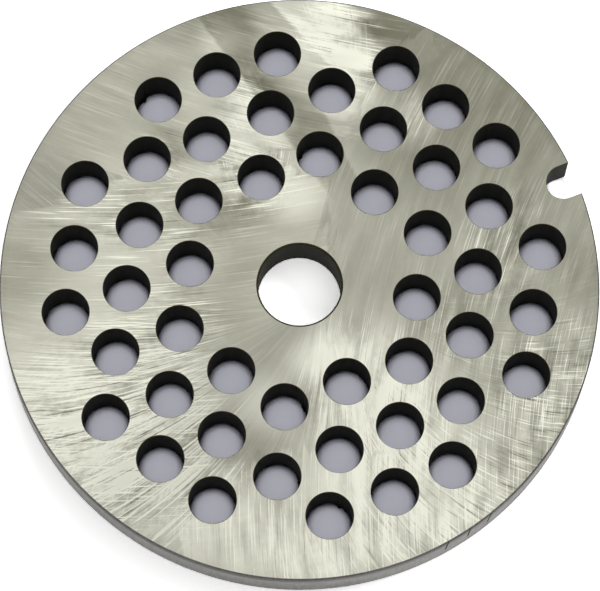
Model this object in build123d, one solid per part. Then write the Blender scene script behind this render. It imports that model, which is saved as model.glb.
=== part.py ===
from build123d import *

import os
from math import floor, hypot, sqrt
from random import Random

# Hole plate of a hand or kitchen meat grinder, the size with a 62 mm rim.
# One flat steel disc: the knife turns against its front face and pushes the meat through the holes,
# the pin of the feed screw turns in the centre bore, and a key in the body stands in the rim notch.
#
# Millimetres. The origin is the centre of the bore at the back face. +Z runs out of the front face,
# and +X runs out through the notch.

# Rim and faces
plate_diameter = 62.0
plate_thickness = 5.5
rim_break = 0.15  # 45 degree break that keeps the rim from cutting hands

# Centre bore, countersunk on the front face where the screw's pin enters
bore_diameter = 8.6
bore_countersink = 0.2

# Locating notch, cut by a round cutter that runs in from the rim
notch_width = 3.6
notch_depth = 3.2

# Drilled holes, on a triangular lattice with one of its rows along X
hole_diameter = 4.9
hole_pitch = 6.9
hub_land_diameter = 17.0  # plain ring round the bore, for the hub of the knife
rim_land = 2.9  # plain ring inside the rim, for the lip of the body
lattice_offset_x = 0.6  # the drilling jig sat this far off the bore's centre
lattice_offset_y = 0.3
drill_wander = 0.16  # standard deviation of each hole's place, along X and along Y
drill_seed = 950307

# Cutters stand past the faces and the rim by this much, so that they cut cleanly
cutter_overrun = 1.0

plate_radius = plate_diameter / 2
bore_radius = bore_diameter / 2
countersink_radius = bore_radius + bore_countersink


def turned_blank():
    """The disc as it leaves the lathe: half its section, turned round the bore's axis."""
    half_section = Polyline(
        (bore_radius, 0),
        (plate_radius - rim_break, 0),
        (plate_radius, rim_break),
        (plate_radius, plate_thickness - rim_break),
        (plate_radius - rim_break, plate_thickness),
        (countersink_radius, plate_thickness),
        (bore_radius, plate_thickness - bore_countersink),
        close=True,
    )
    return revolve(make_face(Plane.XZ * half_section), Axis.Z)


def lattice_marks():
    """Row, column and centre of each mark that leaves the hub land and the rim land plain."""
    row_spacing = hole_pitch * sqrt(3) / 2
    nearest = (hub_land_diameter + hole_diameter) / 2
    farthest = plate_radius - rim_land - hole_diameter / 2
    reach = floor(plate_radius / row_spacing) + 1
    for row in range(-reach, reach + 1):
        for column in range(-2 * reach, 2 * reach + 1):
            x = hole_pitch * (column + row / 2)
            y = row_spacing * row
            if nearest <= hypot(x, y) <= farthest:
                yield row, column, x + lattice_offset_x, y + lattice_offset_y


def drilled_centres():
    """Where the drill really went in: each mark with a small error of its own."""
    centres = []
    for row, column, x, y in lattice_marks():
        error = Random(f"{drill_seed} {row} {column}")
        centres.append((x + error.gauss(0, drill_wander), y + error.gauss(0, drill_wander)))
    return centres


def through_cutter(profile):
    """A flat profile at the back face, drawn out past both faces."""
    return extrude(Pos(0, 0, -cutter_overrun) * profile, plate_thickness + 2 * cutter_overrun)


def drill():
    """One cylinder for each hole."""
    return through_cutter(Sketch() + [Pos(x, y) * Circle(hole_diameter / 2) for x, y in drilled_centres()])


def notch_cutter():
    """A round-ended slot that opens through the rim."""
    end_x = plate_radius - notch_depth + notch_width / 2
    slot_length = plate_radius + cutter_overrun - end_x
    round_end = Pos(end_x, 0) * Circle(notch_width / 2)
    straight = Pos(end_x + slot_length / 2, 0) * Rectangle(slot_length, notch_width)
    return through_cutter(round_end + straight)


def grinder_plate():
    """The finished plate: the turned blank, drilled and notched."""
    plate = turned_blank() - drill() - notch_cutter()
    plate.label = "grinder_plate"
    return plate


os.makedirs("parts", exist_ok=True)
export_step(grinder_plate(), "parts/grinder_plate.step")
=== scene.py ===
"""Meat grinder plate: a drilled steel disc with ground faces, lying on a pale floor."""

import random
from collections import namedtuple
from math import atan2, cos, hypot, pi, radians, sin, sqrt

import bmesh
import bpy
from bpy.props import FloatProperty, FloatVectorProperty, IntProperty, PointerProperty, StringProperty
from mathutils import Matrix, Vector


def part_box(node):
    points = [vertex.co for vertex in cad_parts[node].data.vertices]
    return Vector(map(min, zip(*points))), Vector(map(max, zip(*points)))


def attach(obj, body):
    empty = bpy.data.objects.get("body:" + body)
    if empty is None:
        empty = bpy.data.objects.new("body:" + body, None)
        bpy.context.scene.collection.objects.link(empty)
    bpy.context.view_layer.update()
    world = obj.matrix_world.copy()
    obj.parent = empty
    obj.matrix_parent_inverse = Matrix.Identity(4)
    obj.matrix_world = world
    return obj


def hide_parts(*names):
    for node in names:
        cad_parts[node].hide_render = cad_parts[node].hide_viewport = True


bl_info = {
    "name": "Grinder Plate",
    "version": (1, 0, 0),
    "blender": (4, 5, 0),
    "location": "View3D > Sidebar > Grinder Plate",
    "description": "Models the drilled plate of a meat grinder with its ground and turned finishes",
    "category": "Object",
}

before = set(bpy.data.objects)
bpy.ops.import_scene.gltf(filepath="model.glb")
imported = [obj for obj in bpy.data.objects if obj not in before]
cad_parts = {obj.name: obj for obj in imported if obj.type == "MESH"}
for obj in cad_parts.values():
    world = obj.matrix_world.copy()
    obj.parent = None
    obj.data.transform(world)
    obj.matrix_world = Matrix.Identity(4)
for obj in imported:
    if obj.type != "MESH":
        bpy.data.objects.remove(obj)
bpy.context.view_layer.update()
NODE = "grinder_plate"
MM = 0.001
LOW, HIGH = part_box(NODE)
TOP = HIGH.z
RADIUS = HIGH.y  # read along Y, because the notch cuts the rim short along X


# ---------------------------------------------------------------------------------------------
# Sizes and colours that a user may change


class PlateSizes(bpy.types.PropertyGroup):
    """How finely the plate is drawn, and its small breaks and burrs."""

    rim_segments: IntProperty(
        name="Rim segments", description="Flats round the outer rim", default=360, min=24)
    hole_segments: IntProperty(
        name="Hole segments", description="Flats round each drilled hole", default=72, min=12)
    bore_segments: IntProperty(
        name="Bore segments", description="Flats round the centre bore", default=144, min=12)
    rim_break: FloatProperty(
        name="Rim break", description="45 degree break on both edges of the rim",
        default=0.15 * MM, unit="LENGTH", subtype="DISTANCE", precision=5)
    hole_break: FloatProperty(
        name="Hole break", description="How far the front edge of each hole is rounded by the grinding",
        default=0.04 * MM, unit="LENGTH", subtype="DISTANCE", precision=5)
    burr_height: FloatProperty(
        name="Burr height", description="How far up the wall of a hole its back burr starts",
        default=0.35 * MM, unit="LENGTH", subtype="DISTANCE", precision=5)
    burr_seed: IntProperty(
        name="Burr seed", description="Picks the ragged outline of the burrs", default=5, min=0)


class PlateColours(bpy.types.PropertyGroup):
    """Colours of the finishes, as sRGB hex."""

    ground: StringProperty(
        name="Ground steel", description="Face, where the grinding lies even", default="#CAC9BA")
    # The dark and light ends also give the face's painted shade and painted highlights
    ground_dark: StringProperty(
        name="Ground steel, dark", description="Grooves and dull patches", default="#7D7C6B")
    ground_light: StringProperty(
        name="Ground steel, light", description="Burnished ridges", default="#FFFFEE")
    scale: StringProperty(
        name="Drilling scale", description="Wall of holes, bore and notch", default="#151409")
    scale_brown: StringProperty(
        name="Scale, brown", description="Thinner scale near the front edges", default="#3A3418")
    # The rim's grey is partly painted shade: darker than bare steel, for the shaded floor that it mirrors
    turned: StringProperty(
        name="Turned rim", description="Outer rim, left as it was turned", default="#7E7D7A")
    # This dark also gives the painted shade toward the rim's front face
    turned_dark: StringProperty(
        name="Turned rim, dark", description="Tool lines and grease on the rim", default="#3E3C39")


class StageSettings(bpy.types.PropertyGroup):
    """Camera, lamps and floor."""

    lens: FloatProperty(
        name="Lens", description="Focal length on a 36 mm sensor", default=252.0, unit="CAMERA")
    camera_place: FloatVectorProperty(
        name="Camera place", description="Where the camera stands", size=3,
        default=(-45.47 * MM, -100.06 * MM, 425.24 * MM), unit="LENGTH", subtype="TRANSLATION")
    camera_right: FloatVectorProperty(
        name="Camera right", description="The direction to the right in the picture", size=3,
        default=(0.926717, -0.3756, 0.010926), subtype="DIRECTION")
    camera_up: FloatVectorProperty(
        name="Camera up", description="The direction upward in the picture", size=3,
        default=(0.361101, 0.898232, 0.25057), subtype="DIRECTION")
    floor: StringProperty(name="Floor", description="Colour of the pale floor", default="#F7F7F7")
    floor_under: StringProperty(
        name="Floor under the plate", description="Cool tint of the shaded floor", default="#ECECFA")


def settings():
    """The add-on's settings in this scene."""
    scene = bpy.context.scene
    return scene.grinder_plate_sizes, scene.grinder_plate_colours, scene.grinder_plate_stage


# ---------------------------------------------------------------------------------------------
# Materials


def linear(hex_colour):
    """An sRGB hex colour as linear RGBA."""
    values = [int(hex_colour[i:i + 2], 16) / 255 for i in (1, 3, 5)]
    return [v / 12.92 if v <= 0.04045 else ((v + 0.055) / 1.055) ** 2.4 for v in values] + [1.0]


def add(tree, kind, inputs=None, **options):
    """Adds a node of this kind, sets its options, and links or sets its inputs.

    A node given as an input is linked by its first output.
    """
    node = tree.nodes.new(kind)
    for name, value in options.items():
        setattr(node, name, value)
    for name, value in (inputs or {}).items():
        if isinstance(value, bpy.types.Node):
            value = value.outputs[0]
        if isinstance(value, bpy.types.NodeSocket):
            tree.links.new(value, node.inputs[name])
        else:
            node.inputs[name].default_value = value
    return node


def new_material(name):
    """An empty node material."""
    material = bpy.data.materials.new(name)
    material.use_nodes = True
    material.node_tree.nodes.clear()
    return material, material.node_tree


def place_in_mm(tree):
    """Object coordinates in millimetres."""
    coordinates = add(tree, "ShaderNodeTexCoord")
    return add(tree, "ShaderNodeVectorMath", {0: coordinates.outputs["Object"], "Scale": 1 / MM},
               operation="SCALE").outputs[0]


def place_on_face(tree):
    """The same, flattened onto the face."""
    return add(tree, "ShaderNodeVectorMath", {0: place_in_mm(tree), 1: (1.0, 1.0, 0.0)},
               operation="MULTIPLY").outputs[0]


# Swirls with different seeds take their noise from layers this far apart, in mm
SEED_APART = 100.0


def straight_pass(tree, flat, centre, seed):
    """A pass of the grinding wheel as wide arcs round a centre far off the plate.

    Gives the way across the streaks, and a place whose x runs across them and y along them, in mm.
    """
    across = add(tree, "ShaderNodeVectorMath", {0: flat, 1: (*centre, 0.0)}, operation="SUBTRACT")
    distance = add(tree, "ShaderNodeVectorMath", {0: across}, operation="LENGTH")
    # the plate must not lie across the seam of the arc tangent, so the angle is taken from the plate's side
    turned = atan2(-centre[1], -centre[0])
    along_x = add(tree, "ShaderNodeVectorMath", {0: across, 1: (cos(turned), sin(turned), 0.0)},
                  operation="DOT_PRODUCT")
    along_y = add(tree, "ShaderNodeVectorMath", {0: across, 1: (-sin(turned), cos(turned), 0.0)},
                  operation="DOT_PRODUCT")
    angle = add(tree, "ShaderNodeMath", {0: along_y.outputs["Value"], 1: along_x.outputs["Value"]},
                operation="ARCTAN2")
    arc = add(tree, "ShaderNodeMath", {0: angle, 1: hypot(*centre)}, operation="MULTIPLY")
    streak = add(tree, "ShaderNodeCombineXYZ", {0: distance.outputs["Value"], 1: arc, 2: float(seed)})
    return across.outputs[0], streak.outputs[0]


def swirl_pass(tree, flat, wheel, offset, side, seed):
    """A pass with the plate turning under the wheel: arcs that swirl out from near the bore.

    wheel is the radius of the arcs and offset the distance of their centres from the bore, in mm. side is
    1 or -1, the way they swirl. Gives the same as straight_pass, with z along the streaks.
    """
    parts = add(tree, "ShaderNodeSeparateXYZ", {0: flat})
    radius = add(tree, "ShaderNodeVectorMath", {0: flat}, operation="LENGTH")
    angle = add(tree, "ShaderNodeMath", {0: parts.outputs["Y"], 1: parts.outputs["X"]}, operation="ARCTAN2")
    square = add(tree, "ShaderNodeMath", {0: radius.outputs["Value"], 1: radius.outputs["Value"],
                                          2: offset ** 2 - wheel ** 2}, operation="MULTIPLY_ADD")
    base = add(tree, "ShaderNodeMath", {0: radius.outputs["Value"], 1: 2 * offset}, operation="MULTIPLY")
    cosine = add(tree, "ShaderNodeMath", {0: square, 1: base}, operation="DIVIDE")
    opening = add(tree, "ShaderNodeMath", {0: cosine}, operation="ARCCOSINE")
    centre_angle = add(tree, "ShaderNodeMath", {0: opening, 1: float(side), 2: angle},
                       operation="MULTIPLY_ADD")
    centre_x = add(tree, "ShaderNodeMath", {0: centre_angle}, operation="COSINE")
    centre_y = add(tree, "ShaderNodeMath", {0: centre_angle}, operation="SINE")
    unit = add(tree, "ShaderNodeCombineXYZ", {0: centre_x, 1: centre_y})
    centre = add(tree, "ShaderNodeVectorMath", {0: unit, "Scale": float(offset)}, operation="SCALE")
    across = add(tree, "ShaderNodeVectorMath", {0: flat, 1: centre}, operation="SUBTRACT")
    # the streaks' widths are true 20 mm from the bore's centre, and narrow toward it
    lift = add(tree, "ShaderNodeMath", {0: radius.outputs["Value"], 1: SEED_APART * seed}, operation="ADD")
    raised = add(tree, "ShaderNodeCombineXYZ", {2: lift})
    streak = add(tree, "ShaderNodeVectorMath", {0: unit, 1: (20.0, 20.0, 0.0), 2: raised},
                 operation="MULTIPLY_ADD")
    return across.outputs[0], streak.outputs[0]


def drawn_out(tree, place, spacing, length, swirl, detail):
    """Noise drawn out along a pass: spacing across and length along, in mm."""
    stretch = (1 / spacing, 1 / spacing, 1 / length) if swirl else (1 / spacing, 1 / length, 1.0)
    scaled = add(tree, "ShaderNodeVectorMath", {0: place, 1: stretch}, operation="MULTIPLY")
    noise = add(tree, "ShaderNodeTexNoise", {"Vector": scaled, "Scale": 1.0, "Detail": detail,
                                             "Roughness": 0.55})
    return noise.outputs["Fac"]


def pass_marks(tree, across, place, swirl=False, length=7.5):
    """What one pass of the wheel leaves: soft bands, fine grain along them, and the way across them.

    The real grit lines are 0.02 mm apart. The grain is drawn coarser here, 0.16 mm wide, with some finer
    between. length is that of its lines, in mm.
    """
    bands = drawn_out(tree, place, 1.5, 6.5, swirl, 1.0)
    lines = drawn_out(tree, place, 0.16, length, swirl, 1.6)
    return bands, lines, across


def single_lines(tree, lines, depth):
    """Lines that stand out of the grain: above 0 where the grit burnished, down to -depth where it cut."""
    bright = add(tree, "ShaderNodeMapRange", {"Value": lines, "From Min": 0.57, "From Max": 0.72})
    dark = add(tree, "ShaderNodeMapRange", {"Value": lines, "From Min": 0.41, "From Max": 0.26})
    cut = add(tree, "ShaderNodeMath", {0: dark, 1: -depth, 2: bright}, operation="MULTIPLY_ADD")
    return cut.outputs[0]


def lay_over(tree, mask, under, over):
    """One pass of the wheel ground over another where the mask is 1."""
    bands = add(tree, "ShaderNodeMix", {"Factor": mask, 2: under[0], 3: over[0]}, data_type="FLOAT")
    lines = add(tree, "ShaderNodeMix", {"Factor": mask, 2: under[1], 3: over[1]}, data_type="FLOAT")
    across = add(tree, "ShaderNodeMix", {"Factor": mask, 4: under[2], 5: over[2]}, data_type="VECTOR")
    return bands.outputs[0], lines.outputs[0], across.outputs[1]


def oval(tree, flat, centre, half_sizes, turn=0.0, edge=0.5):
    """1 in the middle of an oval patch of the face and 0 outside it.

    half_sizes are in mm, turn in degrees, and edge is the share of the patch that fades.
    """
    mapped = add(tree, "ShaderNodeMapping", {"Vector": flat, "Location": (*centre, 0.0),
                                             "Rotation": (0.0, 0.0, radians(turn)),
                                             "Scale": (*half_sizes, 1.0)}, vector_type="TEXTURE")
    # a gradient's result takes less room in the renderer than a length's, and a face has dozens of ovals
    near = add(tree, "ShaderNodeTexGradient", {"Vector": mapped}, gradient_type="SPHERICAL")
    inside = add(tree, "ShaderNodeMapRange", {"Value": near.outputs["Fac"], "From Min": 0.0,
                                              "From Max": edge}, interpolation_type="SMOOTHSTEP")
    return inside.outputs[0]


def changed_in_ovals(tree, flat, level, ovals):
    """A level of the whole face, with the change that each oval makes to it."""
    for centre, half_sizes, turn, edge, change in ovals:
        spot = oval(tree, flat, centre, half_sizes, turn, edge)
        level = add(tree, "ShaderNodeMath", {0: spot, 1: change, 2: level}, operation="MULTIPLY_ADD")
    return level


def ground_area(tree, flat, marks, centre, half_sizes, turn, edge):
    """Where a pass was ground over the others: an oval whose border runs out into hairs along the pass."""
    bands, lines, _ = marks
    area = oval(tree, flat, centre, half_sizes, turn, edge)
    ragged = add(tree, "ShaderNodeMath", {0: bands, 1: 0.9, 2: area}, operation="MULTIPLY_ADD")
    hairy = add(tree, "ShaderNodeMath", {0: lines, 1: 0.5, 2: ragged}, operation="MULTIPLY_ADD")
    mask = add(tree, "ShaderNodeMapRange", {"Value": hairy, "From Min": 1.08, "From Max": 1.32})
    return mask.outputs[0]


def lap_edge(tree, flat, lines, start, end, reach):
    """The hard edge of a lap of the wheel, from start to end across the face, in mm.

    1 just to the right of the line, as seen on the way to its end, and fading out over reach. 0 to its left
    and past its ends.
    """
    length = hypot(end[0] - start[0], end[1] - start[1])
    along = ((end[0] - start[0]) / length, (end[1] - start[1]) / length, 0.0)
    normal = (along[1], -along[0], 0.0)
    middle = ((start[0] + end[0]) / 2, (start[1] + end[1]) / 2, 0.0)
    from_middle = add(tree, "ShaderNodeVectorMath", {0: flat, 1: middle}, operation="SUBTRACT")
    side = add(tree, "ShaderNodeVectorMath", {0: from_middle, 1: normal}, operation="DOT_PRODUCT")
    ragged = add(tree, "ShaderNodeMath", {0: lines, 1: 0.8, 2: side.outputs["Value"]},
                 operation="MULTIPLY_ADD")
    rise = add(tree, "ShaderNodeMapRange", {"Value": ragged, "From Min": 0.25, "From Max": 0.6})
    fall = add(tree, "ShaderNodeMapRange", {"Value": ragged, "From Min": 0.6, "From Max": reach,
                                            "To Min": 1.0, "To Max": 0.0}, interpolation_type="SMOOTHSTEP")
    far = add(tree, "ShaderNodeVectorMath", {0: from_middle, 1: along}, operation="DOT_PRODUCT")
    off = add(tree, "ShaderNodeMath", {0: far.outputs["Value"]}, operation="ABSOLUTE")
    ends = add(tree, "ShaderNodeMapRange", {"Value": off, "From Min": 0.35 * length, "From Max": 0.6 * length,
                                            "To Min": 1.0, "To Max": 0.0}, interpolation_type="SMOOTHSTEP")
    edge = add(tree, "ShaderNodeMath", {0: rise, 1: fall}, operation="MULTIPLY")
    return add(tree, "ShaderNodeMath", {0: edge, 1: ends}, operation="MULTIPLY").outputs[0]


# Ovals of the face: middle and half sizes in mm, turn in degrees, share that fades, and change of tone.
# These are painted highlights: brighter where the steel's reflection shows bright.
PAINTED_HIGHLIGHT_OVALS = (
    ((-27.0, -4.0), (15.0, 16.0), 0.0, 0.9, 0.50),
    ((-20.0, -17.0), (18.0, 14.0), -45.0, 0.9, 0.30),
    ((-18.0, -18.0), (9.0, 7.0), -40.0, 0.9, 0.16),
    ((-16.0, -3.0), (10.0, 11.0), 0.0, 0.9, 0.30),
    ((-15.0, 8.0), (14.0, 9.0), -25.0, 0.9, 0.20),
    ((-11.0, 18.0), (8.0, 5.0), -30.0, 0.9, 0.12),
    ((1.5, -17.0), (16.0, 15.0), -20.0, 0.9, 0.54),
    ((2.5, -12.0), (6.0, 8.0), 0.0, 0.9, 0.24),
    ((-1.0, -7.5), (6.0, 4.0), 0.0, 0.9, 0.24),
    ((-9.0, -28.0), (15.0, 8.0), -10.0, 0.9, 0.30),
    ((5.0, -28.5), (10.0, 7.0), 10.0, 0.9, 0.38),
    ((16.0, -23.0), (15.0, 11.0), 35.0, 0.9, 0.06),
    ((0.0, 14.0), (13.0, 6.0), -26.0, 0.7, 0.20),
    ((3.0, 8.5), (4.5, 3.5), -20.0, 0.9, 0.32),
    ((2.5, 18.0), (5.0, 4.0), -30.0, 0.9, 0.60),
    ((-1.5, 22.0), (6.0, 4.5), -30.0, 0.9, 0.14),
    ((2.5, 22.5), (3.5, 3.5), 0.0, 0.9, 0.18),
    ((18.0, -2.0), (6.0, 4.5), 40.0, 0.9, 0.09),
    ((11.5, 23.0), (9.5, 7.0), -55.0, 0.8, 0.31),
    ((12.5, 17.0), (4.5, 4.0), -40.0, 0.7, 0.44),
    ((17.5, 12.5), (5.0, 4.5), -40.0, 0.9, 0.34),
    ((-8.0, -10.5), (4.5, 5.0), 0.0, 0.9, 0.38),
    ((-1.0, -8.0), (4.5, 3.5), 0.0, 0.9, 0.28),
    ((-4.0, -22.0), (9.0, 5.0), 0.0, 0.9, 0.24),
    ((22.0, 5.0), (5.0, 7.0), 0.0, 0.9, 0.06),
    ((2.5, 28.0), (3.5, 3.5), 0.0, 0.9, 0.28),
    ((-6.5, -27.5), (4.5, 4.0), 0.0, 0.9, 0.16),
    ((3.0, -27.5), (4.0, 4.0), 0.0, 0.9, 0.14),
    ((13.5, 25.5), (5.0, 2.2), -38.0, 0.8, 0.25),
    ((14.6, 20.4), (3.4, 1.7), -52.0, 0.7, 0.36),
)
# These are painted shade: darker where the steel's reflection shows dim
PAINTED_SHADE_OVALS = (
    ((25.0, 13.0), (20.0, 19.0), 10.0, 0.7, -0.20),
    ((22.0, -5.0), (15.0, 12.0), -10.0, 0.9, -0.06),
    ((-16.0, -0.5), (13.0, 5.5), 0.0, 0.8, -0.30),
    ((-26.0, 12.0), (8.0, 6.5), 0.0, 0.9, -0.14),
    ((12.0, 28.0), (5.5, 4.0), 0.0, 0.9, -0.24),
    ((14.2, 22.6), (3.5, 1.4), -38.0, 0.8, -0.15),
    ((28.0, -10.0), (5.0, 6.5), 0.0, 0.9, -0.11),
    ((-28.0, 2.0), (4.0, 4.0), 0.0, 0.9, -0.12),
    ((12.5, -17.0), (5.0, 5.0), 0.0, 0.9, -0.14),
    ((13.0, -9.0), (6.0, 4.5), 0.0, 0.9, -0.10),
    ((-6.0, 4.0), (6.0, 4.0), 0.0, 0.9, -0.14),
    ((-5.0, 10.0), (8.0, 4.5), -15.0, 0.9, -0.22),
    ((-8.0, 18.0), (4.5, 4.0), 0.0, 0.9, -0.20),
    ((4.0, 29.0), (11.0, 3.5), -12.0, 0.9, -0.16),
    ((19.0, 23.0), (5.0, 4.5), -45.0, 0.9, -0.22),
    ((-12.0, 5.0), (4.0, 5.5), 0.0, 0.9, -0.14),
    ((-9.0, -15.5), (7.0, 7.0), -40.0, 0.9, -0.20),
    ((-4.0, -12.0), (4.5, 4.5), 0.0, 0.9, -0.26),
)
# Lively ones show the single lines more, as painted sheen where the light would pick them out: the last
# number is the change of their strength
LIVELY = (
    ((-24.0, -8.0), (15.0, 15.0), 0.0, 0.7, 1.25),
    ((-14.5, 1.0), (8.0, 6.5), 0.0, 0.8, 0.60),
    ((-13.0, 13.0), (13.0, 6.0), -30.0, 0.8, 0.45),
    ((-8.0, 18.0), (4.0, 4.0), 0.0, 0.8, 0.55),
    ((0.0, 12.5), (6.0, 5.5), -30.0, 0.8, 1.20),
    ((2.0, 20.0), (4.5, 6.0), -20.0, 0.8, 0.60),
    ((14.0, 24.0), (6.0, 4.5), -45.0, 0.6, 1.20),
    ((13.5, 18.5), (3.5, 3.0), -38.0, 0.6, 0.80),
    ((17.5, 12.5), (4.5, 4.0), 0.0, 0.8, 0.50),
    ((2.0, -15.0), (9.0, 12.0), 0.0, 0.8, 1.05),
    ((12.5, -10.0), (6.0, 6.0), 0.0, 0.9, 0.40),
    ((0.0, -27.0), (25.0, 9.0), 0.0, 0.8, 0.55),
    ((20.0, -20.0), (10.0, 9.0), 40.0, 0.8, 0.45),
    ((21.0, -4.0), (9.0, 5.5), 60.0, 0.8, 0.45),
    ((-15.0, -18.0), (13.0, 9.0), -40.0, 0.8, 0.35),
)
# Hard edges of the wheel's laps, where a painted highlight or painted shade begins: start, end and reach in
# mm, and change of tone
LAP_EDGES_OF_PAINTED_LIGHT = (
    ((6.4, 8.0), (0.8, 31.5), 7.5, -0.30),
    ((12.6, 18.5), (8.2, 31.0), 9.0, 0.42),
    ((9.9, 7.0), (9.2, 18.0), 4.0, 0.20),
)


def face_passes(tree, flat):
    """What the wheel left all over the face, and the two passes that still show through it."""
    swirl = pass_marks(tree, *swirl_pass(tree, flat, 53.4, 51.3, -1, 1), swirl=True)
    cross = pass_marks(tree, *swirl_pass(tree, flat, 30.0, 34.0, 1, 2), swirl=True, length=3.5)
    right = pass_marks(tree, *straight_pass(tree, flat, (84.0, -58.0), 3))
    above = pass_marks(tree, *straight_pass(tree, flat, (25.0, 120.0), 5))
    top = pass_marks(tree, *straight_pass(tree, flat, (89.0, 133.0), 4))

    # Later passes lie over the swirl: above the bore, at the top, and as wide arcs at the right and below
    face = swirl
    for marks, centre, half_sizes, turn, edge in (
            (above, (-11.0, 9.0), (29.0, 10.0), -14.0, 0.5),
            (top, (2.0, 34.0), (38.0, 25.0), -9.0, 0.4),
            (right, (28.0, -9.0), (33.0, 37.0), -10.0, 0.4),
            (right, (-6.0, -27.0), (22.0, 13.0), -20.0, 0.5),
    ):
        area = ground_area(tree, flat, marks, centre, half_sizes, turn, edge)
        face = lay_over(tree, area, face, marks)
    return face, cross, above


def face_zones(tree, flat, lines):
    """Tone of the face from place to place, before its lines: painted highlights and shade, and a darker ring
    at the rim.
    """
    zone = changed_in_ovals(tree, flat, 0.33, PAINTED_HIGHLIGHT_OVALS + PAINTED_SHADE_OVALS)
    # each lap's edge starts a painted highlight or painted shade
    for start, end, reach, change in LAP_EDGES_OF_PAINTED_LIGHT:
        lap = lap_edge(tree, flat, lines, start, end, reach)
        zone = add(tree, "ShaderNodeMath", {0: lap, 1: change, 2: zone}, operation="MULTIPLY_ADD")
    from_middle = add(tree, "ShaderNodeVectorMath", {0: flat}, operation="LENGTH")
    edge = add(tree, "ShaderNodeMapRange", {"Value": from_middle.outputs["Value"], "From Min": 30.0,
                                            "From Max": 30.8}, interpolation_type="SMOOTHSTEP")
    return add(tree, "ShaderNodeMath", {0: edge, 1: -0.04, 2: zone}, operation="MULTIPLY_ADD")


def face_lines(tree, flat, lines, cross, above):
    """Single lines of each pass that shows: also a second swirl at the lower right, and arcs at the left."""
    lined = single_lines(tree, lines, 0.45)
    at_right = oval(tree, flat, (12.0, -23.0), (27.0, 14.0), 30.0, 0.7)
    crossing = add(tree, "ShaderNodeMath", {0: at_right, 1: 0.85, 2: 0.12}, operation="MULTIPLY_ADD")
    lined = add(tree, "ShaderNodeMath", {0: single_lines(tree, cross[1], 0.6), 1: crossing, 2: lined},
                operation="MULTIPLY_ADD")
    at_left = oval(tree, flat, (-22.0, -3.0), (19.0, 24.0), 0.0, 0.7)
    shallow = add(tree, "ShaderNodeMath", {0: at_left, 1: 0.7}, operation="MULTIPLY")
    return add(tree, "ShaderNodeMath", {0: single_lines(tree, above[1], 0.3), 1: shallow, 2: lined},
               operation="MULTIPLY_ADD")


def ground_steel(colours):
    """Carbon tool steel, surface ground: grey with a warm cast, streaked by the wheel's passes.

    The streaks carry the light: the reflection spreads across them, so the face breaks up into fans and
    patches that are bright or dull as the wheel ran. Many of the patches are also painted into the colour, as
    painted highlights and painted shade.
    """
    material, tree = new_material("tool_steel_surface_ground")
    flat = place_on_face(tree)
    (bands, lines, across), cross, above = face_passes(tree, flat)
    zone = face_zones(tree, flat, lines)
    lined = face_lines(tree, flat, lines, cross, above)

    # The lines are painted stronger in patches and in clusters, where the light would pick them out
    lively = changed_in_ovals(tree, flat, 0.10, LIVELY)
    clustered = add(tree, "ShaderNodeMapRange", {"Value": bands, "From Min": 0.35, "From Max": 0.65,
                                                 "To Min": 0.55, "To Max": 1.0})
    lines_seen = add(tree, "ShaderNodeMath", {0: lined, 1: clustered}, operation="MULTIPLY")
    # between the lines the face is mottled, in spots 0.8 mm across
    spots = add(tree, "ShaderNodeTexNoise", {"Vector": flat, "Scale": 1.2, "Detail": 2.0, "Roughness": 0.6})
    mottled = add(tree, "ShaderNodeMapRange", {"Value": spots, "From Min": 0.3, "From Max": 0.7,
                                               "To Min": -0.12, "To Max": 0.12})
    drawn = add(tree, "ShaderNodeMath", {0: lines_seen, 1: 2.0, 2: mottled}, operation="MULTIPLY_ADD")
    cloud = add(tree, "ShaderNodeMapRange", {"Value": bands, "From Min": 0.3, "From Max": 0.7,
                                             "To Min": -0.5, "To Max": 0.5})
    marks = add(tree, "ShaderNodeMath", {0: cloud, 1: 0.60, 2: drawn}, operation="MULTIPLY_ADD")
    tone = add(tree, "ShaderNodeMath", {0: marks, 1: lively, 2: zone}, operation="MULTIPLY_ADD")

    # The wheel's facets tip the streaks a little from band to band, which feathers the light
    most = add(tree, "ShaderNodeMapRange", {"Value": lively, "From Min": 0.10, "From Max": 0.60,
                                            "To Min": radians(5.0), "To Max": radians(13.0)})
    uneven = add(tree, "ShaderNodeMapRange", {"Value": bands, "From Min": 0.3, "From Max": 0.7,
                                              "To Min": -1.0, "To Max": 1.0})
    tip = add(tree, "ShaderNodeMath", {0: uneven, 1: most}, operation="MULTIPLY")
    tipped = add(tree, "ShaderNodeVectorRotate", {"Vector": across, "Angle": tip}, rotation_type="Z_AXIS")
    spread = add(tree, "ShaderNodeVectorMath", {0: tipped}, operation="NORMALIZE")

    # the ramp's colours carry the painted highlights and painted shade along with the grain
    colour = add(tree, "ShaderNodeValToRGB", {"Fac": tone})
    ramp = colour.color_ramp
    ramp.elements[0].position, ramp.elements[0].color = 0.0, linear(colours.ground_dark)
    ramp.elements[1].position, ramp.elements[1].color = 1.0, linear(colours.ground_light)
    middle = ramp.elements.new(0.5)
    middle.color = linear(colours.ground)

    # Where the tone is lighter, painted highlights included, the steel is a little smoother
    roughness = add(tree, "ShaderNodeMapRange", {"Value": tone, "From Min": 0.2, "From Max": 1.0,
                                                 "To Min": 0.42, "To Max": 0.32})
    bump = add(tree, "ShaderNodeBump", {"Height": lined, "Strength": 0.25, "Distance": 0.00001})
    steel = add(tree, "ShaderNodeBsdfPrincipled", {
        "Base Color": colour, "Metallic": 1.0, "Roughness": roughness,
        "Anisotropic": 0.7, "Tangent": spread, "Normal": bump})
    add(tree, "ShaderNodeOutputMaterial", {"Surface": steel})
    return material


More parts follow.
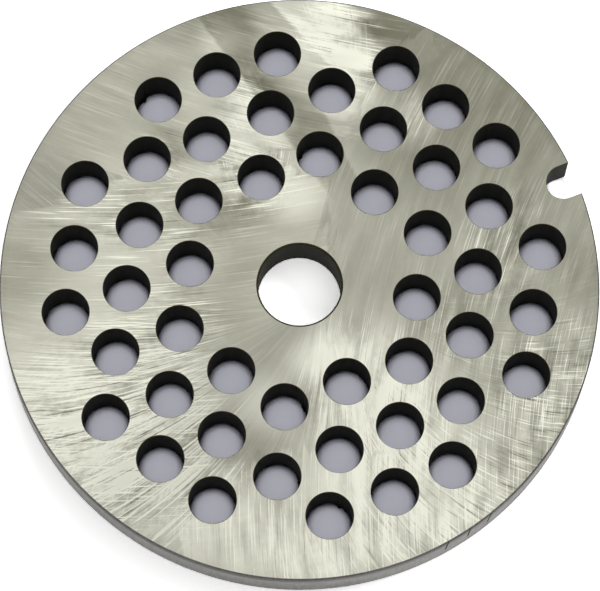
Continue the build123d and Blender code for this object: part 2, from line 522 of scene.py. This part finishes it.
def drilling_scale(colours):
    """Black oxide scale in the drilled and milled cuts: near black, dry, faintly olive where it thins."""
    material, tree = new_material("tool_steel_drilled_black_scale")
    whole = place_in_mm(tree)
    apart = add(tree, "ShaderNodeSeparateXYZ", {0: whole})
    grain = add(tree, "ShaderNodeTexNoise", {"Vector": whole, "Scale": 2.6, "Detail": 4.0,
                                             "Roughness": 0.65})
    # the scale thins in the last 0.4 mm below the front face
    near_face = add(tree, "ShaderNodeMapRange", {"Value": apart.outputs["Z"], "From Min": 5.1,
                                                 "From Max": 5.5, "To Min": -0.15, "To Max": 0.35})
    thin = add(tree, "ShaderNodeMath", {0: grain, 1: near_face}, operation="ADD")
    spread = add(tree, "ShaderNodeMapRange", {"Value": thin, "From Min": 0.4, "From Max": 0.95})
    colour = add(tree, "ShaderNodeMix", {"Factor": spread, 6: linear(colours.scale),
                                         7: linear(colours.scale_brown)}, data_type="RGBA")
    # bare specks where a chip tore the scale off, about 0.1 mm wide
    chips = add(tree, "ShaderNodeTexNoise", {"Vector": whole, "Scale": 7.0, "Detail": 0.0})
    torn = add(tree, "ShaderNodeMapRange", {"Value": chips, "From Min": 0.76, "From Max": 0.82})
    specked = add(tree, "ShaderNodeMix", {"Factor": torn, 6: colour.outputs[2],
                                          7: linear(colours.turned_dark)}, data_type="RGBA")
    # rings of the drill 0.1 mm apart
    rings = add(tree, "ShaderNodeVectorMath", {0: whole, 1: (0.3, 0.3, 9.0)}, operation="MULTIPLY")
    tool_lines = add(tree, "ShaderNodeTexNoise", {"Vector": rings, "Scale": 1.0, "Detail": 2.0})
    bump = add(tree, "ShaderNodeBump", {"Height": tool_lines, "Strength": 0.5, "Distance": 0.00004})
    wall = add(tree, "ShaderNodeBsdfPrincipled", {
        "Base Color": specked.outputs[2], "Metallic": 0.0, "Roughness": 0.75, "Specular IOR Level": 0.15,
        "Normal": bump})
    add(tree, "ShaderNodeOutputMaterial", {"Surface": wall})
    return material


def turned_rim(colours):
    """The same steel as it was turned, with handling marks: mid grey, darker than bare steel as painted
    shade, with fine tool lines.

    Painted shade darkens the rim toward the front face, so that its edge stands out against the bright face.
    """
    material, tree = new_material("tool_steel_turned_dull")
    whole = place_in_mm(tree)
    apart = add(tree, "ShaderNodeSeparateXYZ", {0: whole})
    # tool lines 0.12 mm apart, drawn out round the rim
    drawn = add(tree, "ShaderNodeVectorMath", {0: whole, 1: (0.12, 0.12, 8.0)}, operation="MULTIPLY")
    lines = add(tree, "ShaderNodeTexNoise", {"Vector": drawn, "Scale": 1.0, "Detail": 3.0})
    # handling marks run up and down, 0.3 mm apart
    upright = add(tree, "ShaderNodeVectorMath", {0: whole, 1: (3.0, 3.0, 0.35)}, operation="MULTIPLY")
    handling = add(tree, "ShaderNodeTexNoise", {"Vector": upright, "Scale": 1.0, "Detail": 3.0})
    both = add(tree, "ShaderNodeMath", {0: lines, 1: handling}, operation="ADD")
    # Painted shade: the rim darkens toward the front face, in a wavy band
    wavy = add(tree, "ShaderNodeMath", {0: handling, 1: 0.5, 2: apart.outputs["Z"]}, operation="MULTIPLY_ADD")
    painted_shade = add(tree, "ShaderNodeMapRange", {"Value": wavy, "From Min": 4.2, "From Max": 5.0,
                                              "To Min": 0.0, "To Max": 0.95}, interpolation_type="SMOOTHSTEP")
    # the painted shade is halved on the break
    shade_eased_on_break = add(tree, "ShaderNodeMapRange", {"Value": apart.outputs["Z"], "From Min": 5.32, "From Max": 5.42,
                                              "To Min": 1.0, "To Max": 0.5})
    painted_shade = add(tree, "ShaderNodeMath", {0: painted_shade, 1: shade_eased_on_break}, operation="MULTIPLY")
    clean = add(tree, "ShaderNodeMapRange", {"Value": both, "From Min": 0.7, "From Max": 1.25,
                                             "To Min": 0.5, "To Max": 1.0})
    amount = add(tree, "ShaderNodeMath", {0: clean, 1: painted_shade}, operation="SUBTRACT", use_clamp=True)
    colour = add(tree, "ShaderNodeMix", {"Factor": amount, 6: linear(colours.turned_dark),
                                         7: linear(colours.turned)}, data_type="RGBA")
    bump = add(tree, "ShaderNodeBump", {"Height": lines, "Strength": 0.3, "Distance": 0.00003})
    rim = add(tree, "ShaderNodeBsdfPrincipled", {
        "Base Color": colour.outputs[2], "Metallic": 1.0, "Roughness": 0.5, "Normal": bump})
    add(tree, "ShaderNodeOutputMaterial", {"Surface": rim})
    return material


# ---------------------------------------------------------------------------------------------
# Modelling


def drop_selection():
    """Leaves object mode with nothing selected."""
    if bpy.context.object and bpy.context.object.mode != "OBJECT":
        bpy.ops.object.mode_set(mode="OBJECT")
    bpy.ops.object.select_all(action="DESELECT")


# Metres: packed points nearer than SAME are one, and points within LEVEL of a face's height lie in it
SAME = 1e-6
LEVEL = 1e-7
# What is found at the front face has to be a plate with holes
FEWEST_HOLES = 12

# A closed edge: its middle, its reach from there, and its points
RoundEdge = namedtuple("RoundEdge", "x y radius points")


def round_edges(node, height):
    """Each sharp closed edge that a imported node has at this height."""
    mesh = bmesh.new()
    mesh.from_mesh(node.data)
    bmesh.ops.remove_doubles(mesh, verts=mesh.verts, dist=SAME)
    level = [e for e in mesh.edges
             if all(abs(v.co.z - height) < SAME for v in e.verts)
             and len(e.link_faces) == 2 and e.calc_face_angle() > radians(20)]
    neighbours = {}
    for edge in level:
        for one, other in (edge.verts, reversed(edge.verts)):
            neighbours.setdefault(one, []).append(other)
    found, seen = [], set()
    for start in neighbours:
        if start in seen:
            continue
        points, open_ends = [], [start]
        while open_ends:
            vertex = open_ends.pop()
            if vertex not in seen:
                seen.add(vertex)
                points.append(vertex.co.copy())
                open_ends.extend(neighbours[vertex])
        x = sum(point.x for point in points) / len(points)
        y = sum(point.y for point in points) / len(points)
        found.append(RoundEdge(x, y, max(hypot(point.x - x, point.y - y) for point in points), points))
    mesh.free()
    return found


def packed_edges():
    """Outline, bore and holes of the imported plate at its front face, and its bore at the back."""
    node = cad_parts[NODE]
    front = round_edges(node, TOP)
    outline = max(front, key=lambda edge: edge.radius)
    inner = [edge for edge in front if edge is not outline]
    bore = min(inner, key=lambda edge: hypot(edge.x, edge.y))
    holes = [edge for edge in inner if edge is not bore]
    if len(holes) < FEWEST_HOLES:
        raise RuntimeError(f"the packed plate shows only {len(holes)} holes at its front face")
    back = [edge for edge in round_edges(node, LOW.z) if edge.radius < outline.radius / 2]
    return outline, bore, holes, min(back, key=lambda edge: hypot(edge.x, edge.y))


def edit_mesh():
    """The active object's mesh in edit mode, with nothing selected."""
    bpy.ops.mesh.select_all(action="DESELECT")
    mesh = bmesh.from_edit_mesh(bpy.context.object.data)
    mesh.verts.ensure_lookup_table()
    return mesh


def bevel_edges(wanted, width):
    """Breaks the edges of the mesh in edit mode that a test picks."""
    mesh = edit_mesh()
    bpy.ops.mesh.select_mode(type="EDGE")
    for edge in mesh.edges:
        if wanted(edge):
            edge.select_set(True)
    bmesh.update_edit_mesh(bpy.context.object.data)
    bpy.ops.mesh.bevel(offset=width, offset_type="OFFSET", segments=1, affect="EDGES")


def cut_away(piece, cutter):
    """Takes the cutter's shape out of the piece and drops the cutter."""
    drop_selection()
    piece.select_set(True)
    bpy.context.view_layer.objects.active = piece
    cut = piece.modifiers.new("cut", "BOOLEAN")
    cut.operation = "DIFFERENCE"
    cut.solver = "EXACT"
    cut.object = cutter
    bpy.ops.object.modifier_apply(modifier=cut.name)
    bpy.data.objects.remove(cutter)


def holed_disc(sizes, bore_radius, holes):
    """The blank: its outline and every hole as circles, filled between and drawn up to its thickness.

    It stays in edit mode.
    """
    bpy.ops.mesh.primitive_circle_add(vertices=sizes.rim_segments, radius=RADIUS, location=(0, 0, 0))
    plate = bpy.context.object
    plate.name = plate.data.name = "plate"
    bpy.ops.object.mode_set(mode="EDIT")
    bpy.ops.mesh.primitive_circle_add(vertices=sizes.bore_segments, radius=bore_radius, location=(0, 0, 0))
    for hole in holes:
        bpy.ops.mesh.primitive_circle_add(
            vertices=sizes.hole_segments, radius=hole.radius, location=(hole.x, hole.y, 0))
    bpy.ops.mesh.select_all(action="SELECT")
    bpy.ops.mesh.fill(use_beauty=True)
    bpy.ops.mesh.select_all(action="SELECT")
    bpy.ops.mesh.extrude_region_move(TRANSFORM_OT_translate={"value": (0, 0, TOP)})
    bpy.ops.mesh.select_all(action="SELECT")
    bpy.ops.mesh.normals_make_consistent(inside=False)
    return plate


def break_edges(sizes, bore_radius, countersink):
    """Breaks the rim on both sides, countersinks the bore at the front and rounds the holes there."""
    def on_rim(vertex):
        return hypot(vertex.co.x, vertex.co.y) > RADIUS * 0.999

    def in_bore(vertex):
        return hypot(vertex.co.x, vertex.co.y) < bore_radius * 1.05

    def at_front(edge):
        return all(vertex.co.z > TOP - LEVEL for vertex in edge.verts)

    bevel_edges(lambda edge: all(on_rim(v) for v in edge.verts) and edge.verts[0].co.z == edge.verts[1].co.z,
                sizes.rim_break)
    bevel_edges(lambda edge: at_front(edge) and all(in_bore(v) for v in edge.verts), countersink)
    # what is still sharp at the front are the holes
    bevel_edges(lambda edge: at_front(edge) and len(edge.link_faces) == 2
                and edge.calc_face_angle() > radians(60), sizes.hole_break)


# Burrs: middle of the hole in mm, way to the burr from it and half its width in degrees, and reach in mm
BURRS = (
    ((-6.2, 24.0), 121.0, 20.0, 0.50),
    ((7.2, 12.3), 138.0, 24.0, 0.62),
    ((-6.3, -11.4), 6.0, 16.0, 0.55),
    ((-9.7, -17.9), 341.0, 20.0, 0.34),
    ((0.6, -11.3), 13.0, 20.0, 0.30),
    ((-6.3, -23.7), 33.0, 26.0, 0.36),
    ((-23.5, 6.3), 61.0, 18.0, 0.34),
    ((-6.3, 12.3), 148.0, 14.0, 0.30),
    ((-13.2, 0.3), 166.0, 14.0, 0.40),
)
# Every hole's back edge is a little rough: this much at most, in metres
ROUGHEST = 0.05 * MM
# How much a burr curls up, as a share of its reach
CURL = 0.15


def way_to(vertex, hole):
    """The direction of a vertex from the middle of a hole."""
    return atan2(vertex.co.y - hole.y, vertex.co.x - hole.x)


def pull_burrs(sizes, holes):
    """Pulls the back edge of each hole inward, a little all round and far where it has a burr.

    A ring of vertices above the edge holds the wall where it is.
    """
    bpy.ops.mesh.select_all(action="SELECT")
    bpy.ops.mesh.bisect(plane_co=(0, 0, sizes.burr_height), plane_no=(0, 0, 1))
    mesh = edit_mesh()
    chance = random.Random(sizes.burr_seed)
    back = [vertex for vertex in mesh.verts if abs(vertex.co.z) < LEVEL]
    owners = [min(holes, key=lambda hole: hypot(hole.x / MM - x, hole.y / MM - y)) for (x, y), *_ in BURRS]
    for hole in holes:
        burrs = [burr for burr, owner in zip(BURRS, owners) if owner is hole]
        lip = [v for v in back if abs(hypot(v.co.x - hole.x, v.co.y - hole.y) - hole.radius) < 0.02 * MM]
        for vertex in sorted(lip, key=lambda v: way_to(v, hole)):
            way = way_to(vertex, hole)
            inward = chance.random() ** 3 * ROUGHEST
            for _, burr_way, half_width, reach in burrs:
                off = abs((way - radians(burr_way) + pi) % (2 * pi) - pi) / radians(half_width)
                if off < 1:
                    inward += reach * MM * sqrt(1 - off ** 2) * chance.random() ** 1.5
            vertex.co.x -= inward * cos(way)
            vertex.co.y -= inward * sin(way)
            vertex.co.z += inward * CURL
    bmesh.update_edit_mesh(bpy.context.object.data)


def cut_notch(plate, outline):
    """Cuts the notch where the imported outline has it: half a cylinder drawn out past the rim."""
    inside = [point for point in outline.points if hypot(point.x, point.y) < RADIUS - 0.5 * MM]
    if not inside:
        raise RuntimeError("the packed plate shows no notch in its rim")
    half_width = max(abs(point.y) for point in inside)
    end = min(point.x for point in inside) + half_width
    past = MM
    drop_selection()
    bpy.ops.mesh.primitive_cylinder_add(vertices=96, radius=half_width, depth=TOP + 2 * past,
                                        location=(end, 0, TOP / 2))
    cutter = bpy.context.object
    bpy.ops.object.transform_apply(location=True, rotation=False, scale=False)
    bpy.ops.object.mode_set(mode="EDIT")
    bpy.ops.mesh.select_all(action="SELECT")
    bpy.ops.mesh.bisect(plane_co=(end, 0, 0), plane_no=(1, 0, 0), use_fill=True, clear_outer=True)
    mesh = edit_mesh()
    bpy.ops.mesh.select_mode(type="FACE")
    for face in mesh.faces:
        face.select_set(face.normal.x > 0.99)
    bmesh.update_edit_mesh(cutter.data)
    bpy.ops.mesh.extrude_region_move(TRANSFORM_OT_translate={"value": (RADIUS + past - end, 0, 0)})
    bpy.ops.object.mode_set(mode="OBJECT")
    cut_away(plate, cutter)


# Nicks down the rim: way round from the notch, and lean to one side, in degrees
NICKS = ((-73.3, 6.0), (-78.1, 3.0), (-83.0, 5.0))
NICK_RADIUS = 0.11 * MM
NICK_LENGTH = 3.6 * MM
NICK_HEIGHT = 3.9 * MM  # of its middle above the back face
NICK_STANDS_OFF = 0.03 * MM  # its middle lies this far outside the rim


def cut_nicks(plate):
    """Cuts the nicks, each as a thin leaning cylinder."""
    reach = RADIUS + NICK_STANDS_OFF
    for way, lean in NICKS:
        drop_selection()
        bpy.ops.mesh.primitive_cylinder_add(
            vertices=12, radius=NICK_RADIUS, depth=NICK_LENGTH, rotation=(radians(-lean), 0, radians(way)),
            location=(reach * cos(radians(way)), reach * sin(radians(way)), NICK_HEIGHT))
        cutter = bpy.context.object
        bpy.ops.object.transform_apply(location=True, rotation=True, scale=True)
        cut_away(plate, cutter)


def in_rim_cut(face):
    """Whether a face lies inside the rim's cylinder, away from its two breaks: in the notch or a nick."""
    inside = hypot(face.center.x, face.center.y) < RADIUS - 0.01 * MM
    return inside and 0.3 * MM < face.center.z < TOP - 0.3 * MM


def paint(plate, colours):
    """Ground steel on the two faces, scale in every cut, turned steel on the rim."""
    ground, scale, turned = range(3)
    for finish in (ground_steel, drilling_scale, turned_rim):
        plate.data.materials.append(finish(colours))
    for face in plate.data.polygons:
        if abs(face.normal.z) > 0.99:
            face.material_index = ground
        elif hypot(face.center.x, face.center.y) > RADIUS - 0.2 * MM and not in_rim_cut(face):
            face.material_index = turned
        else:
            face.material_index = scale


class GRINDERPLATE_OT_plate(bpy.types.Operator):
    """Model the plate: drawn up from its outline and holes, edges broken, notch and nicks cut"""

    bl_idname = "grinder_plate.plate"
    bl_label = "Plate"
    bl_options = {"REGISTER", "UNDO"}

    def execute(self, context):
        sizes, colours, _ = settings()
        outline, bore, holes, bore_back = packed_edges()
        drop_selection()
        plate = holed_disc(sizes, bore_back.radius, holes)
        break_edges(sizes, bore_back.radius, bore.radius - bore_back.radius)
        pull_burrs(sizes, holes)
        cut_notch(plate, outline)
        cut_nicks(plate)
        paint(plate, colours)
        drop_selection()
        plate.select_set(True)
        context.view_layer.objects.active = plate
        bpy.ops.object.shade_smooth_by_angle(angle=radians(30))
        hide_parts(NODE)
        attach(plate, "root")
        return {"FINISHED"}


# ---------------------------------------------------------------------------------------------
# Stage


def white_paper(stage):
    """Matt white paper, shown white, and cool grey in the plate's holes, with the object's shadow on it."""
    material, tree = new_material("white_paper_matt")
    # how far from the plate's middle, in mm: all its small holes lie between 5.4 and 29.2
    far = add(tree, "ShaderNodeVectorMath", {0: place_on_face(tree)}, operation="LENGTH")
    inside_rim = add(tree, "ShaderNodeMapRange", {"Value": far.outputs["Value"], "From Min": 28.6,
                                                  "From Max": 29.2, "To Min": 1.0, "To Max": 0.0})
    past_bore = add(tree, "ShaderNodeMapRange", {"Value": far.outputs["Value"], "From Min": 5.4,
                                                 "From Max": 5.6})
    holes = add(tree, "ShaderNodeMath", {0: inside_rim, 1: past_bore}, operation="MULTIPLY")
    tint = add(tree, "ShaderNodeMix", {"Factor": holes, 6: linear(stage.floor),
                                       7: linear(stage.floor_under)}, data_type="RGBA")

    # The shade gathers against the walls of the holes, about a millimetre wide
    near = add(tree, "ShaderNodeAmbientOcclusion", {"Distance": 1.0 * MM}, samples=8)
    open_floor = add(tree, "ShaderNodeMapRange", {"Value": near.outputs["AO"], "From Min": 0.5,
                                                  "From Max": 0.95})
    shade = add(tree, "ShaderNodeMix", {"Factor": holes, 2: 1.0, 3: open_floor}, data_type="FLOAT")

    # Seen by the eye or mirrored in the metal, the paper is lifted, most in the shade under the plate
    deep = add(tree, "ShaderNodeMapRange", {"Value": far.outputs["Value"], "From Min": 29.2, "From Max": 30.6,
                                            "To Min": 3.9, "To Max": 1.9})
    ray = add(tree, "ShaderNodeLightPath")
    mirrored = add(tree, "ShaderNodeMath", {0: ray.outputs["Is Glossy Ray"],
                                            1: ray.outputs["Is Transmission Ray"]}, operation="MAXIMUM")
    seen = add(tree, "ShaderNodeMath", {0: ray.outputs["Is Camera Ray"], 1: mirrored}, operation="MAXIMUM")
    lift = add(tree, "ShaderNodeMix", {"Factor": seen, 2: 1.0, 3: deep}, data_type="FLOAT")
    level = add(tree, "ShaderNodeMath", {0: lift, 1: shade}, operation="MULTIPLY")
    shown = add(tree, "ShaderNodeVectorMath", {0: tint.outputs[2], "Scale": level}, operation="SCALE")
    paper = add(tree, "ShaderNodeBsdfDiffuse", {"Color": shown, "Roughness": 0.9})
    add(tree, "ShaderNodeOutputMaterial", {"Surface": paper})
    return material


# Softboxes: azimuth and height above the horizon in degrees, width in metres, power in watts
SOFTBOXES = {
    "lamp_behind": (72.0, 34.0, 0.5, 5.0),
    "lamp_side": (2.0, 40.0, 0.5, 5.0),
}
# Metres
LAMP_DISTANCE = 1.2
FLOOR_SIZE = 6.0
FLOOR_GAP = 0.02 * MM  # keeps the back face and the floor apart


class GRINDERPLATE_OT_stage(bpy.types.Operator):
    """Set the floor, the soft lamps and the camera"""

    bl_idname = "grinder_plate.stage"
    bl_label = "Stage"
    bl_options = {"REGISTER", "UNDO"}

    def execute(self, context):
        _, _, stage = settings()
        scene = context.scene
        scene.view_settings.view_transform = "Standard"

        # Floor
        drop_selection()
        bpy.ops.mesh.primitive_plane_add(size=FLOOR_SIZE, location=(0, 0, -FLOOR_GAP))
        floor = context.object
        floor.name = floor.data.name = "floor"
        bpy.ops.object.transform_apply(location=True, rotation=False, scale=False)
        floor.data.materials.append(white_paper(stage))

        # Room: white all round near the horizon, dimmer overhead
        world = bpy.data.worlds.new("studio")
        scene.world = world
        world.use_nodes = True
        tree = world.node_tree
        tree.nodes.clear()
        ways = add(tree, "ShaderNodeTexCoord")
        apart = add(tree, "ShaderNodeSeparateXYZ", {0: ways.outputs["Generated"]})
        level = add(tree, "ShaderNodeMapRange", {"Value": apart.outputs["Z"], "From Min": 0.25,
                                                 "From Max": 0.8, "To Min": 1.0, "To Max": 0.62})
        light = add(tree, "ShaderNodeBackground", {"Color": (1.0, 1.0, 1.0, 1.0), "Strength": level})
        add(tree, "ShaderNodeOutputWorld", {"Surface": light})

        for name, (azimuth, height, width, power) in SOFTBOXES.items():
            lamp = bpy.data.lights.new(name, "AREA")
            lamp.shape = "SQUARE"
            lamp.size = width
            lamp.energy = power
            box = bpy.data.objects.new(name, lamp)
            scene.collection.objects.link(box)
            away = Vector((cos(radians(azimuth)) * cos(radians(height)),
                           sin(radians(azimuth)) * cos(radians(height)), sin(radians(height))))
            facing = away.to_track_quat("Z", "Y").to_matrix().to_4x4()
            box.matrix_world = Matrix.Translation(away * LAMP_DISTANCE) @ facing
            box.visible_camera = False

        # Camera
        lens = bpy.data.cameras.new("camera")
        lens.sensor_width = 36.0
        lens.lens = stage.lens
        lens.clip_start = 0.01
        lens.clip_end = 20.0
        camera = bpy.data.objects.new("camera", lens)
        scene.collection.objects.link(camera)
        right = Vector(stage.camera_right).normalized()
        up = Vector(stage.camera_up)
        up = (up - right * up.dot(right)).normalized()
        turn = Matrix((right, up, right.cross(up))).transposed().to_4x4()
        camera.matrix_world = Matrix.Translation(Vector(stage.camera_place)) @ turn
        scene.camera = camera
        return {"FINISHED"}


# ---------------------------------------------------------------------------------------------
# Panel and registration


class GRINDERPLATE_PT_panel(bpy.types.Panel):
    """Lists the piece, the stage and their settings."""

    bl_idname = "GRINDERPLATE_PT_panel"
    bl_label = "Grinder Plate"
    bl_space_type = "VIEW_3D"
    bl_region_type = "UI"
    bl_category = "Grinder Plate"

    def draw(self, context):
        layout = self.layout
        for group in settings():
            box = layout.box()
            for name in group.bl_rna.properties.keys():
                if name not in ("rna_type", "name"):
                    box.prop(group, name)
        for operator in (GRINDERPLATE_OT_plate, GRINDERPLATE_OT_stage):
            layout.operator(operator.bl_idname)


CLASSES = (PlateSizes, PlateColours, StageSettings, GRINDERPLATE_OT_plate, GRINDERPLATE_OT_stage,
           GRINDERPLATE_PT_panel)


def register():
    for cls in CLASSES:
        bpy.utils.register_class(cls)
    bpy.types.Scene.grinder_plate_sizes = PointerProperty(type=PlateSizes)
    bpy.types.Scene.grinder_plate_colours = PointerProperty(type=PlateColours)
    bpy.types.Scene.grinder_plate_stage = PointerProperty(type=StageSettings)


def unregister():
    del bpy.types.Scene.grinder_plate_sizes
    del bpy.types.Scene.grinder_plate_colours
    del bpy.types.Scene.grinder_plate_stage
    for cls in reversed(CLASSES):
        bpy.utils.unregister_class(cls)


def main():
    """Builds the plate and its stage."""
    register()
    bpy.ops.grinder_plate.plate()
    bpy.ops.grinder_plate.stage()


if __name__ == "__main__":
    main()
